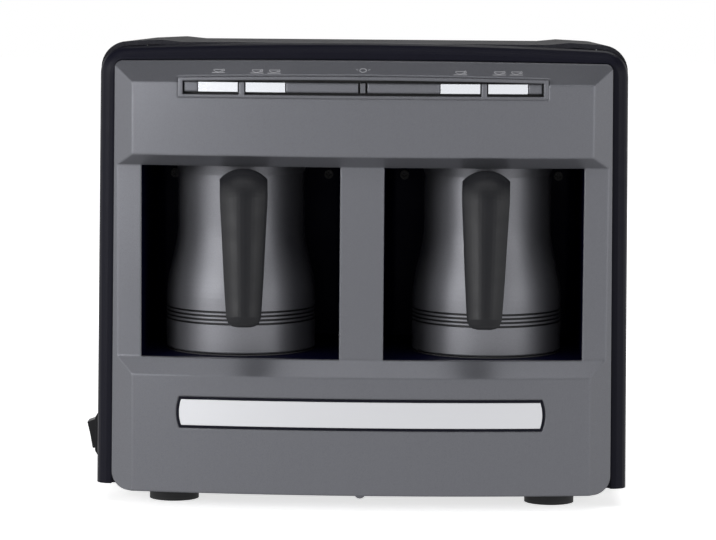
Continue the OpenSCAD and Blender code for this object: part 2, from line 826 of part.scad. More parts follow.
module bay_liner(side) {
    front_d = bay_recess + panel_t + seat;
    flange_half = liner_in_w / 2 + flange_w;
    color("#0d0e16") difference() {
        intersection() {
            union() {
                at_bay(side) translate([0, 0, liner_floor - liner_t])
                    linear_extrude(liner_top - liner_floor + 2 * liner_t) bay_plan(liner_t);
                bowed(front_d, front_d + liner_t)
                    span(side * bay_x - flange_half, side * bay_x + flange_half,
                         liner_floor - flange_w, liner_top + flange_w);
            }
            bow_cylinder(front_d);
        }
        at_bay(side) translate([0, 0, liner_floor])
            linear_extrude(liner_top - liner_floor) bay_plan(0);
        at_pot_axis(side) {
            translate([0, 0, liner_floor - 2 * liner_t]) cylinder(r = seal_r, h = 20, $fn = 96);
            translate([0, 0, liner_top - over]) cylinder(r = sensor_r + 0.2, h = 10);
            carrier_screw_places() translate([0, 0, liner_floor - liner_t - over])
                cylinder(r = shank_r + seat, h = over + liner_t - 0.4);
        }
        liner_screw_places() translate([0, 0, -4]) cylinder(r = shank_r + clear, h = 10);
    }
}

// Two screws high on each bay's back wall, into the bulkhead
liner_screw_x = bay_w / 2 - 9.4;
liner_head_r = 2.5;

module liner_screw_places() {
    for (bay = [left, right], end = [left, right])
        translate([bay * bay_x + end * liner_screw_x, bulkhead_y, liner_top - 12])
            rotate([-90, 0, 0]) children();
}

module liner_screws() {
    color("#26262a") liner_screw_places() translate([0, 0, -liner_t])
        screw(liner_head_r, head_h, shank_r, liner_t + sheet_t + 3);
}

// ---------- heaters ----------

sensor_r = 6;

module at_pot_axis(side) {
    translate([side * pot_x, pot_y, 0]) children();
}

module carrier_screw_places() {
    for (a = [30, 150, 270]) rotate(a)
        translate([(carrier_r + carrier_flange_r) / 2 + 0.4, 0, 0]) children();
}

module hotplate(side) {
    color("#3a3a3e") at_pot_axis(side) difference() {
        translate([0, 0, plate_bottom]) cylinder(r = hotplate_r, h = hotplate_t, $fn = 96);
        translate([0, 0, plate_z - 0.4]) difference() {
            cylinder(r = hotplate_r * 0.62, h = 1, $fn = 96);
            translate([0, 0, -over]) cylinder(r = hotplate_r * 0.58, h = 1 + 2 * over, $fn = 96);
        }
    }
}

module hotplate_seal(side) {
    top = plate_z - 0.4;
    color("#2a2a2c") at_pot_axis(side) rotate_extrude($fn = 96) polygon([
        [hotplate_r + seat, liner_floor - liner_t], [seal_r - seat, liner_floor - liner_t],
        [seal_r - seat, liner_floor], [seal_r + 1.8, liner_floor], [seal_r + 1.4, top],
        [hotplate_r + seat, top]
    ]);
}

module hotplate_carrier(side) {
    top = liner_floor - liner_t;
    color("#a8aab0") at_pot_axis(side) difference() {
        rotate_extrude($fn = 96) polygon([
            [hotplate_r - 5, plate_bottom - sheet_t], [carrier_r + sheet_t, plate_bottom - sheet_t],
            [carrier_r + sheet_t, top - sheet_t], [carrier_flange_r, top - sheet_t],
            [carrier_flange_r, top], [carrier_r, top], [carrier_r, plate_bottom],
            [hotplate_r - 5, plate_bottom]
        ]);
        carrier_screw_places() translate([0, 0, top - sheet_t - over])
            cylinder(r = shank_r + clear, h = sheet_t + 2 * over);
    }
}

module heater(side) {
    gap_deg = 50;
    color("#8e8f92") at_pot_axis(side) translate([0, 0, plate_bottom]) {
        intersection() {
            translate([0, 0, -heater_tube_r * 0.7]) rotate([0, 0, 90 + gap_deg / 2])
                rotate_extrude(angle = 360 - gap_deg, $fn = 96)
                    translate([heater_r, 0]) circle(r = heater_tube_r, $fn = 32);
            translate([0, 0, -20]) cylinder(r = 2 * heater_r, h = 20);
        }
        // cold ends, turned down
        for (a = [-1, 1]) rotate(90 + a * gap_deg / 2) translate([heater_r, 0, -heater_tube_r - 12])
            cylinder(r = 1.8, h = 12);
    }
}

module thermostat(side) {
    color("#c8c2b4") at_pot_axis(side) translate([0, 0, plate_bottom]) {
        translate([0, 0, -8]) cylinder(r = 8, h = 8);
        for (x = [-4, 4]) translate([x - 0.4, -3, -16]) cube([0.8, 6, 8.5]);
    }
}

module boil_sensor(side) {
    color("#1a1a1e") at_pot_axis(side) {
        translate([0, 0, liner_top + 0.4]) cylinder(r = sensor_r, h = 8);
        translate([0, 0, liner_top + liner_t]) cylinder(r = sensor_r + 4, h = 2);
        translate([-sensor_r - 3, -7, liner_top + liner_t + 2]) cube([2 * sensor_r + 6, 14, 1.6]);
    }
}

// ---------- pots ----------

module at_pot(side) {
    translate([side * pot_x, pot_y, plate_z]) rotate(side == left ? left_turn : -right_turn) children();
}

// Outer radius of a pot at height z: wide base, smooth waist, straight neck
function pot_r(z) =
    z <= flare_z0 ? pot_base_r :
    z >= flare_z1 ? pot_neck_r :
    pot_neck_r + (pot_base_r - pot_neck_r) * (1 + cos(180 * (z - flare_z0) / (flare_z1 - flare_z0))) / 2;

module pot_profile(inset, z0, z1) {
    steps = 14;
    waist = [for (i = [0 : steps])
        let (z = flare_z0 + (flare_z1 - flare_z0) * i / steps) [pot_r(z) - inset, z]];
    polygon(concat(
        [[0, z0], [pot_base_r - inset - pot_edge, z0], [pot_base_r - inset, z0 + pot_edge]], waist,
        [[pot_neck_r - inset, pot_h - lip_h], [pot_neck_r + rim_flare - inset, z1], [0, z1]]));
}

module pot_body(side) {
    color("#7c7d85") at_pot(side) difference() {
        union() {
            rotate_extrude($fn = 128) pot_profile(0, 0, pot_h);
            rotate(90) spout(spout_r, 0);
        }
        rotate_extrude($fn = 128) pot_profile(pot_t, pot_floor_t, pot_h + over / 10);
        rotate(90) spout(spout_r - pot_t, over);
        translate([0, 0, pot_h]) cylinder(r = 2 * pot_base_r, h = 20);
        for (i = [0 : 3]) translate([0, 0, groove_z + i * groove_pitch])
            rotate_extrude($fn = 128) translate([pot_base_r, 0]) circle(r = groove_r, $fn = 16);
    }
}

// Pouring lip at the rim, opposite the handle
module spout(r, more) {
    intersection() {
        translate([pot_neck_r - r * 1.05, 0, pot_h - spout_h + 1]) rotate([0, 32, 0])
            translate([0, 0, -4]) cylinder(r = r, h = 40);
        translate([0, -r - 1, pot_h - spout_h]) cube([2 * pot_neck_r, 2 * r + 2, spout_h + more]);
    }
}

// Handle: sections along its length, each [out from the neck, up from the rim, share of the
// width, share of the thickness, turn from level], and the steps from each to the next
handle_path = [
    [3.2, -10.4, 0.80, 0.92, 0],
    [8.6, -9.6, 0.86, 0.96, 6],
    [14.6, -8.4, 0.95, 1.00, 9],
    [20.1, -7.1, 1.00, 1.00, 3],
    [24.6, -6.4, 1.00, 1.00, -14],
    [28.6, -8.6, 1.00, 1.00, -38],
    [30.9, -13.6, 1.00, 1.00, -62],
    [32.1, -20, 0.98, 0.99, -77],
    [34, -31, 0.93, 0.96, -79],
    [38.4, -55, 0.83, 0.90, -79],
    [40.5, -67, 0.77, 0.86, -79],
    [41.9, -74.4, 0.73, 0.81, -79],
    [42.4, -77.2, 0.64, 0.68, -79],
    [42.6, -78.5, 0.50, 0.50, -79],
    [42.7, -79.1, 0.30, 0.26, -79]
];
handle_steps = [1, 1, 2, 3, 4, 4, 3, 2, 2, 1, 1, 1, 1, 1];
handle_sides = 28;
// Height of a handle's side edges, as a share of half its thickness
handle_edge = 0.21;

// Unit section of a handle: an arch on its outer side, a squarer curve on its inner side
function handle_section(a) =
    let (arch = 2 * atan((1 - handle_edge) * handle_t / handle_w), t = arch * (1 - a / 90))
    a <= 180
        ? [sin(t) / sin(arch), handle_edge + (1 - handle_edge) * (cos(t) - cos(arch)) / (1 - cos(arch))]
        : [sign(cos(a)) * pow(abs(cos(a)), 0.6), handle_edge - (1 + handle_edge) * pow(-sin(a), 0.7)];

// A section between the path's k-th and its next, on a curve through all of them
function handle_between(k, t) =
    let (last = len(handle_path) - 1, a = handle_path[k], b = handle_path[k + 1],
         a_way = (b - handle_path[max(k - 1, 0)]) / 2,
         b_way = (handle_path[min(k + 2, last)] - a) / 2)
    a * (2 * pow(t, 3) - 3 * t * t + 1) + a_way * (pow(t, 3) - 2 * t * t + t)
    + b * (3 * t * t - 2 * pow(t, 3)) + b_way * (pow(t, 3) - t * t);

function handle_ring(s) = [for (i = [0 : handle_sides - 1])
    let (q = handle_section(360 * i / handle_sides),
         across = q[0] * handle_w * s[2] / 2,
         up = q[1] * handle_t * s[3] / 2)
    [across, -(pot_neck_r + s[0] - up * sin(s[4])), pot_h + s[1] + up * cos(s[4])]];

module pot_handle(side) {
    color("#2b2c30") at_pot(side) difference() {
        skin(concat(
            [for (k = [0 : len(handle_steps) - 1], i = [0 : handle_steps[k] - 1])
                handle_ring(handle_between(k, i / handle_steps[k]))],
            [handle_ring(handle_path[len(handle_path) - 1])]));
        // socket for the bracket's tongue, and the screw's hole up into it
        translate([-tongue_w / 2 - seat, -pot_neck_r - tongue_l - clear, tongue_z - seat])
            cube([tongue_w + 2 * seat, tongue_l, tongue_h + 2 * seat]);
        handle_screw_place() translate([0, 0, -30]) cylinder(r = shank_r + seat, h = 31);
        handle_screw_place() translate([0, 0, -30]) cylinder(r = head_r + clear, h = 30 - 3);
    }
}

tongue_w = 10;
tongue_h = 7;
tongue_l = 13;
tongue_z = pot_h - 12;

module handle_screw_place() {
    translate([0, -pot_neck_r - tongue_l + 4.5, tongue_z]) children();
}

module handle_bracket(side) {
    bracket_t = 1.2;
    color("#b4b5ba") at_pot(side) difference() {
        union() {
            intersection() {
                difference() {
                    cylinder(r = pot_neck_r + seat + bracket_t, h = pot_h, $fn = 128);
                    translate([0, 0, -over])
                        cylinder(r = pot_neck_r + seat, h = pot_h + 2 * over, $fn = 128);
                }
                translate([-9, -pot_neck_r - 5, pot_h - 17]) cube([18, 12, 12]);
            }
            translate([-tongue_w / 2, -pot_neck_r - tongue_l, tongue_z])
                cube([tongue_w, tongue_l - 1, tongue_h]);
        }
        handle_screw_place() translate([0, 0, -over]) cylinder(r = thread_r, h = 6 + over);
    }
}

module handle_screws(side) {
    color("#8a8a8e") at_pot(side) handle_screw_place() translate([0, 0, -3])
        screw(head_r, head_h, shank_r, 3 + 5);
}

// ---------- switch ----------

// On the casing's left side: x points out of the wall, z up along it
module at_switch() {
    translate([-half_w(case_w, switch_z), switch_y, switch_z])
        rotate([0, draft, 0]) mirror([1, 0, 0]) children();
}

rocker_half = switch_l / 2 - 3.5;
rocker_w = switch_w - 4.2;
rocker_face = 4.9;
well_l = switch_l - 5;
well_w = switch_w - 3.6;
body_l = switch_l - 2.2;
body_w = switch_w - 2;

module switch_housing() {
    color("#0e0e10") at_switch() difference() {
        union() {
            // bezel, thinner towards its ends
            rotate([90, 0, 0]) linear_extrude(switch_w, center = true) polygon([
                [0, -switch_l / 2], [1, -switch_l / 2], [switch_bezel_t, -switch_l / 2 + 2.4],
                [switch_bezel_t, switch_l / 2 - 2.4], [1, switch_l / 2], [0, switch_l / 2]
            ]);
            translate([-switch_d, -body_w / 2, -body_l / 2]) cube([switch_d + 0.5, body_w, body_l]);
        }
        translate([-switch_d + 4, -well_w / 2, -well_l / 2])
            cube([switch_d + 10, well_w, well_l]);
        translate([hinge_v, 0, 0]) rotate([90, 0, 0])
            cylinder(r = pin_r + run_fit, h = well_w + 1.2, center = true);
    }
}

module switch_rocker() {
    tip = rocker_half - 0.7;
    color("#1a1a1c") at_switch() translate([hinge_v, 0, 0]) rotate([0, rocker_tilt, 0])
        rotate([90, 0, 0]) {
            linear_extrude(rocker_w, center = true) polygon([
                [-3.5, -rocker_half * 0.7], [0, -rocker_half], [rocker_face, -tip],
                [rocker_face - 0.2, 0], [rocker_face, tip], [0, rocker_half],
                [-3.5, rocker_half * 0.7]
            ]);
            cylinder(r = pin_r, h = well_w + 1, center = true);
        }
}

module switch_terminals() {
    color("#c9a45a") at_switch() for (z = [-7, 0, 7])
        translate([-switch_d - 7.5, -2.4, z - 0.4]) cube([7.5, 4.8, 0.8]);
}

// ---------- electrics ----------

module power_board() {
    color("#1d5a36") difference() {
        translate([pcb_x[0], pcb_y[0] - 5, pcb_z])
            cube([pcb_x[1] - pcb_x[0], pcb_y[1] - pcb_y[0] + 10, pcb_t]);
        pcb_screw_places() translate([0, 0, pcb_z - over])
            cylinder(r = shank_r + clear, h = pcb_t + 2 * over);
    }
}

relay_size = [16, 19, 15.5];
relay_pitch = 24;
// Laminated core, the two windows in it and the coil's sides that pass through them
core_size = [32, 26, 28];
core_limb = 6;
window_w = 5;
coil_size = [4.4, 34, 15];
capacitor_r = 4;
capacitor_h = 14;
capacitor_pitch = 13;
terminal_size = [14, 30, 14];
terminal_pitch = 9;
terminal_r = 2.2;

// Power board's parts, from its left end: transformer, capacitors, relays
transformer_x = pcb_x[0] + core_size[0] / 2 + 18;
capacitor_x = transformer_x + core_size[0] / 2 + 10;
relay_x = capacitor_x + capacitor_r + 6;

module relays() {
    color("#2356a0") for (i = [0, 1])
        translate([relay_x + i * relay_pitch, pcb_mid - 8, pcb_top]) cube(relay_size);
}

module transformer() {
    window_x = core_size[0] / 2 - core_limb - window_w / 2;
    color("#b8a24a") translate([transformer_x, pcb_mid, pcb_top]) {
        difference() {
            translate([-core_size[0] / 2, -core_size[1] / 2, 0]) cube(core_size);
            for (side = [left, right])
                translate([side * window_x - window_w / 2, -core_size[1], core_limb])
                    cube([window_w, 2 * core_size[1], core_size[2] - 2 * core_limb]);
        }
        for (side = [left, right])
            translate([side * window_x - coil_size[0] / 2, -coil_size[1] / 2, core_limb + 0.5])
                cube(coil_size);
    }
}

module capacitors() {
    color("#303a60") for (i = [-1 : 1])
        translate([capacitor_x, pcb_mid + i * capacitor_pitch, pcb_top])
            cylinder(r = capacitor_r, h = capacitor_h - 2 * i);
}

module terminal_block() {
    color("#d8d6cc") translate([gland_x + 18, cover_y - terminal_size[1] - 10, pan_top])
        difference() {
            cube(terminal_size);
            for (i = [0 : 2])
                translate([terminal_size[0] / 2, terminal_size[1] / 2 + (i - 1) * terminal_pitch,
                           terminal_size[2] - 8])
                    cylinder(r = terminal_r, h = 8 + over);
        }
}

module cord_gland() {
    color("#121214") translate([gland_x, cover_y, gland_z]) rotate([-90, 0, 0]) difference() {
        union() {
            translate([0, 0, -6]) cylinder(r = gland_r + 2.8, h = 6 + cover_t);
            translate([0, 0, -8]) cylinder(r = gland_r + 4.5, h = 8);
            translate([0, 0, cover_t]) cylinder(r1 = gland_r + 4.5, r2 = gland_r + 3.8, h = 2);
        }
        translate([0, 0, -20]) cylinder(r = gland_r, h = 40);
    }
}

// Flat cable from the control board, over the bays and down to the power board
module ribbon_cable() {
    w = 16;
    t = 1;
    over_z = liner_top + liner_t + 12;
    down_y = bulkhead_y + sheet_t + 2;
    start_y = board_y + board_t;
    color("#9aa0a8") translate([-w / 2, 0, 0]) {
        translate([0, start_y, over_z]) cube([w, t, strip_z - over_z]);
        translate([0, start_y, over_z]) cube([w, down_y + t - start_y, t]);
        translate([0, down_y, pcb_top + 8]) cube([w, t, over_z + t - pcb_top - 8]);
        translate([0, down_y, pcb_top + 8]) cube([w, pcb_y[0] - down_y, t]);
        translate([0, pcb_y[0] - t, pcb_top]) cube([w, t, 8 + t]);
    }
}

front_panel();
rim_frame();
rear_casing();
back_cover();
base_pan();
bulkhead();
foot(left, -1);  // foot_front_left
foot(right, -1);  // foot_front_right
foot(left, 1);  // foot_rear_left
foot(right, 1);  // foot_rear_right
base_screws();
cover_screws();
panel_screws();
button_bezel();
button_shroud();
strip_blanks();
light_lens();
button(-button_x - button_pitch);  // button_left_one_cup
button(-button_x);  // button_left_two_cups
button(button_x);  // button_right_one_cup
button(button_x + button_pitch);  // button_right_two_cups
control_board();
key_switches();
status_led();
board_screws();
plate_bezel();
trim_plate();
bay_liner(left);  // bay_liner_left
bay_liner(right);  // bay_liner_right
liner_screws();
hotplate(left);  // hotplate_left
hotplate(right);  // hotplate_right
hotplate_seal(left);  // hotplate_seal_left
hotplate_seal(right);  // hotplate_seal_right
hotplate_carrier(left);  // hotplate_carrier_left
hotplate_carrier(right);  // hotplate_carrier_right
heater(left);  // heater_left
heater(right);  // heater_right
thermostat(left);  // thermostat_left
thermostat(right);  // thermostat_right
boil_sensor(left);  // boil_sensor_left
boil_sensor(right);  // boil_sensor_right
pot_body(left);  // pot_body_left
pot_body(right);  // pot_body_right
pot_handle(left);  // pot_handle_left
pot_handle(right);  // pot_handle_right
handle_bracket(left);  // handle_bracket_left
handle_bracket(right);  // handle_bracket_right
handle_screws(left);  // handle_screws_left
handle_screws(right);  // handle_screws_right
switch_housing();
switch_rocker();
switch_terminals();
power_board();
relays();
transformer();
capacitors();
terminal_block();
cord_gland();
ribbon_cable();
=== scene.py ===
"""Looks of the Turkish coffee maker with two pots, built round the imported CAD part.

Metres. +Z is up, the front faces -Y, and +X is to the right seen from the front.
"""

import json
from math import cos, radians, sin, sqrt

import bmesh
import bpy
from mathutils import Matrix, Vector


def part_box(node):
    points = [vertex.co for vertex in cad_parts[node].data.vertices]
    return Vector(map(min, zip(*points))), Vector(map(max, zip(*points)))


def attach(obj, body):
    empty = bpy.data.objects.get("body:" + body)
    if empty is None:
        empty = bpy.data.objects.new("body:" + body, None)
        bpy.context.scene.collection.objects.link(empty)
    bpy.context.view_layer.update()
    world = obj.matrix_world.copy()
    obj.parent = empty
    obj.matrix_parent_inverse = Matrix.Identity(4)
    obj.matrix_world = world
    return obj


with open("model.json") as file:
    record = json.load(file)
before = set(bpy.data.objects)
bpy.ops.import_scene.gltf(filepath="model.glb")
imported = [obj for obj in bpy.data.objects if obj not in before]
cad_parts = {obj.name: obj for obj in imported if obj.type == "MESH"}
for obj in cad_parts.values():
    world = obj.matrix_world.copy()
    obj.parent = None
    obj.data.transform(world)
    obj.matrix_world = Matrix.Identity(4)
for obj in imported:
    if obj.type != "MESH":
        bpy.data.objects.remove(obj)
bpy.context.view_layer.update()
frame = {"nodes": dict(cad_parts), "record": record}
nodes = frame["nodes"]
MM = 0.001
WHITE = (1, 1, 1, 1)


# ---------- places taken from the frame ----------

TOP_BEVEL_RISE = 11.5 * MM
BEVEL_SLOPE = radians(45)
BOW_R = 830 * MM
FIRST_GROOVE = 15.5 * MM
GROOVE_PITCH = 2.05 * MM
GROOVE_COUNT = 4
# Half the height of the band of painted shade along each pot groove.
PAINTED_GROOVE_SHADE_HALF = 0.5 * MM

panel_low, panel_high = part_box("front_panel")
FRONT = panel_low.y
BEVEL_Z = panel_high.z - TOP_BEVEL_RISE
POT_BASE_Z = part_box("pot_body_left")[0].z
GROOVE_HEIGHTS = [POT_BASE_Z + FIRST_GROOVE + GROOVE_PITCH * i for i in range(GROOVE_COUNT)]


# ---------- camera ----------

# Fitted to the edges of the machine in the photo.
CAMERA_AT = Vector((0.0354, -1.81, 0.2976))
CAMERA_LENS = 167.65
CAMERA_AIM = Vector((-0.0017, FRONT, 0.1261))
CAMERA_ROLL = radians(0.44)
CAMERA_CLIP = 0.1


def make_camera():
    """A camera far in front of the machine, a little above it and to its right."""
    data = bpy.data.cameras.new("camera")
    data.lens = CAMERA_LENS
    data.clip_start = CAMERA_CLIP
    camera = bpy.data.objects.new("camera", data)
    camera.location = CAMERA_AT
    look = (CAMERA_AIM - CAMERA_AT).to_track_quat("-Z", "Y")
    camera.rotation_euler = (look.to_matrix() @ Matrix.Rotation(CAMERA_ROLL, 3, "Z")).to_euler()
    bpy.context.scene.collection.objects.link(camera)
    bpy.context.scene.camera = camera


make_camera()


# ---------- node helpers ----------

class Nodes:
    """A node tree, with short ways to add the nodes that this scene needs."""

    def __init__(self, tree):
        self.tree = tree

    def node(self, kind, **settings):
        made = self.tree.nodes.new(kind)
        for key, value in settings.items():
            setattr(made, key, value)
        return made

    def set(self, node, key, value):
        node.inputs[key].default_value = value

    def join(self, source, node, key):
        self.tree.links.new(source, node.inputs[key])

    def math(self, operation, *values):
        """The result of one operation on numbers and sockets."""
        made = self.node("ShaderNodeMath", operation=operation)
        for place, value in enumerate(values):
            if isinstance(value, (int, float)):
                self.set(made, place, value)
            else:
                self.join(value, made, place)
        return made.outputs["Value"]

    def remap(self, source, low, high, to_low, to_high):
        """A value carried from one range into another, and held within it."""
        made = self.node("ShaderNodeMapRange")
        ranges = {"From Min": low, "From Max": high, "To Min": to_low, "To Max": to_high}
        for key, value in ranges.items():
            self.set(made, key, value)
        self.join(source, made, "Value")
        return made.outputs["Result"]

    def rise(self, where):
        """The Z part of a place or a direction."""
        axes = self.node("ShaderNodeSeparateXYZ")
        self.join(where, axes, "Vector")
        return axes.outputs["Z"]

    def seen(self):
        """1 for the camera's rays and for those through clear pieces, 0 for all others."""
        path = self.node("ShaderNodeLightPath").outputs
        return self.math("MAXIMUM", path["Is Camera Ray"], path["Is Transmission Ray"])


class Shader(Nodes):
    """Builds one material: a Principled surface with helpers for the nodes in front of it."""

    def __init__(self, name, color, roughness, metallic=0.0, **inputs):
        self.material = bpy.data.materials.new(name)
        self.material.use_nodes = True
        super().__init__(self.material.node_tree)
        self.surface = self.tree.nodes["Principled BSDF"]
        self.set(self.surface, "Base Color", (*color, 1))
        self.set(self.surface, "Roughness", roughness)
        self.set(self.surface, "Metallic", metallic)
        for key, value in inputs.items():
            self.set(self.surface, key.replace("_", " "), value)
        self.where = self.node("ShaderNodeTexCoord").outputs["Object"]
        self.normal = None

    def noise(self, scale, detail, roughness=0.5, stretch=None):
        """Noise in 0 to 1, scale in cells per metre, stretched along the axes if asked."""
        made = self.node("ShaderNodeTexNoise")
        self.set(made, "Scale", scale)
        self.set(made, "Detail", detail)
        self.set(made, "Roughness", roughness)
        where = self.where
        if stretch:
            mapping = self.node("ShaderNodeMapping")
            self.set(mapping, "Scale", stretch)
            self.join(where, mapping, "Vector")
            where = mapping.outputs["Vector"]
        self.join(where, made, "Vector")
        return made.outputs["Fac"]

    def cells(self, scale):
        """Distance to the nearest cell's middle, with this many cells per metre."""
        made = self.node("ShaderNodeTexVoronoi")
        self.set(made, "Scale", scale)
        self.join(self.where, made, "Vector")
        return made.outputs["Distance"]

    def at_height(self, z, half):
        """1 within half of this height, 0 elsewhere."""
        return self.math("COMPARE", self.rise(self.where), z, half)

    def mix(self, factor, first, second):
        """A colour between two colours or colour sockets."""
        made = self.node("ShaderNodeMix", data_type="RGBA")
        sides = [side for side in made.inputs if side.type == "RGBA"]
        for side, value in zip(sides, (first, second)):
            if isinstance(value, tuple):
                side.default_value = (*value, 1)
            else:
                self.tree.links.new(value, side)
        self.join(factor, made, 0)
        return [out for out in made.outputs if out.type == "RGBA"][0]

    def color(self, source):
        self.join(source, self.surface, "Base Color")

    def uneven(self, source, roughness, less, more, low=0.3, high=0.7):
        """Roughness that follows the source, from a little less to a little more than given."""
        spread = self.remap(source, low, high, roughness - less, roughness + more)
        self.join(spread, self.surface, "Roughness")

    def soften(self, radius):
        """Rounds the look of the edges, as a mould's small fillets do."""
        made = self.node("ShaderNodeBevel", samples=6)
        self.set(made, "Radius", radius)
        self.normal = made.outputs["Normal"]
        self.join(self.normal, self.surface, "Normal")

    def bump(self, source, depth):
        """Adds a relief of that depth on top of any relief or softened edge so far."""
        made = self.node("ShaderNodeBump")
        self.set(made, "Strength", 1.0)
        self.set(made, "Distance", depth)
        self.join(source, made, "Height")
        if self.normal is not None:
            self.join(self.normal, made, "Normal")
        self.normal = made.outputs["Normal"]
        self.join(self.normal, self.surface, "Normal")


def shade(color, times, plus=0.0):
    """The colour made lighter or darker."""
    return tuple(part * times + plus for part in color)


# ---------- materials ----------

def metallic_lacquer(name, color, roughness=0.34, metallic=0.5, edge=1.6 * MM, painted_shade_grooves=()):
    """Satin grey lacquer with fine metal flakes under a thin clear coat, and painted shade in its
    grooves.

    The grooves that get painted shade are given by their heights in metres.
    """
    s = Shader(name, color, roughness, metallic, Coat_Weight=0.15, Coat_Roughness=0.3)
    s.soften(edge)
    flakes = s.remap(s.cells(scale=5200), 0.0, 0.8, 0.0, 1.0)
    paint_and_groove_shade = s.mix(flakes, shade(color, 1.30), shade(color, 0.84))
    # Painted shade: each groove is painted nearly black to stand in for the shade that falls in
    # it.
    for height in painted_shade_grooves:
        paint_and_groove_shade = s.mix(s.at_height(height, PAINTED_GROOVE_SHADE_HALF), paint_and_groove_shade, shade(color, 0.1))
    s.color(paint_and_groove_shade)
    s.uneven(s.noise(scale=22, detail=2), roughness, less=0.03, more=0.04)
    s.bump(s.noise(scale=1500, detail=2), depth=0.012 * MM)
    return s.material


def grained_plastic(name, color, gloss, roughness=0.5, grain=1400, depth=0.06 * MM):
    """Moulded plastic with a fine leather-like grain."""
    s = Shader(name, color, roughness, Specular_IOR_Level=gloss)
    s.soften(0.6 * MM)
    soft = s.noise(scale=grain * 0.8, detail=3)
    s.bump(s.cells(scale=grain), depth)
    s.bump(soft, depth * 0.6)
    s.color(s.mix(s.remap(soft, 0.3, 0.75, 0, 1), color, shade(color, 1.7, 0.004)))
    s.uneven(s.noise(scale=90, detail=2), roughness, less=0.01, more=0.02)
    return s.material


def satin_plastic(name, color, roughness, edge=0.5 * MM, gloss=0.5):
    """Smooth moulded plastic with faint flow marks."""
    s = Shader(name, color, roughness, Specular_IOR_Level=gloss)
    s.soften(edge)
    marks = s.noise(scale=60, detail=3, stretch=(1.0, 1.0, 3.0))
    s.uneven(marks, roughness, less=0.04, more=0.05)
    s.bump(s.noise(scale=900, detail=2), depth=0.01 * MM)
    return s.material


def bright_metal(name, color, roughness):
    """Plated or polished metal with a hair-fine grain."""
    s = Shader(name, color, roughness, metallic=1.0)
    s.soften(0.3 * MM)
    grain = s.noise(scale=700, detail=3, roughness=0.6, stretch=(1.0, 1.0, 14.0))
    s.uneven(grain, roughness, less=0.03, more=0.06, low=0.25, high=0.75)
    return s.material


def brushed_metal(name, color, roughness, along=(0.05, 1.0, 1.0)):
    """Satin metal with brush lines along one axis."""
    s = Shader(name, color, roughness, metallic=1.0)
    s.soften(0.4 * MM)
    lines = s.noise(scale=2400, detail=4, roughness=0.6, stretch=along)
    s.uneven(lines, roughness, less=0.06, more=0.1, low=0.2, high=0.8)
    s.bump(lines, depth=0.012 * MM)
    return s.material


def rubber(name, color):
    """Matt rubber with a fine tooth and uneven blooming."""
    s = Shader(name, color, roughness=0.75)
    s.soften(0.8 * MM)
    s.bump(s.noise(scale=1800, detail=3), depth=0.04 * MM)
    s.color(s.mix(s.noise(scale=160, detail=3), color, shade(color, 2.2, 0.003)))
    return s.material


def circuit_board(name, color, tracks=(0.04, 0.22, 0.09)):
    """Solder mask with tracks showing through it."""
    s = Shader(name, color, roughness=0.35)
    pattern = s.node("ShaderNodeTexBrick", offset=0.35)
    s.set(pattern, "Scale", 120.0)
    s.set(pattern, "Mortar Size", 0.03)
    s.join(s.where, pattern, "Vector")
    s.color(s.mix(pattern.outputs["Fac"], color, tracks))
    return s.material


def light_guide(name, color):
    """Milky plastic that lets a little light through."""
    s = Shader(name, color, roughness=0.3, Transmission_Weight=0.2, IOR=1.49)
    s.soften(0.3 * MM)
    s.bump(s.noise(scale=1200, detail=2), depth=0.02 * MM)
    return s.material


def dark_interior(name, color, roughness=0.45):
    """Heat-proof blue-black lining with a slight orange peel."""
    s = Shader(name, color, roughness, Specular_IOR_Level=0.05)
    s.soften(0.6 * MM)
    s.bump(s.noise(scale=420, detail=2), depth=0.03 * MM)
    s.uneven(s.noise(scale=40, detail=2), roughness, less=0.05, more=0.05)
    return s.material


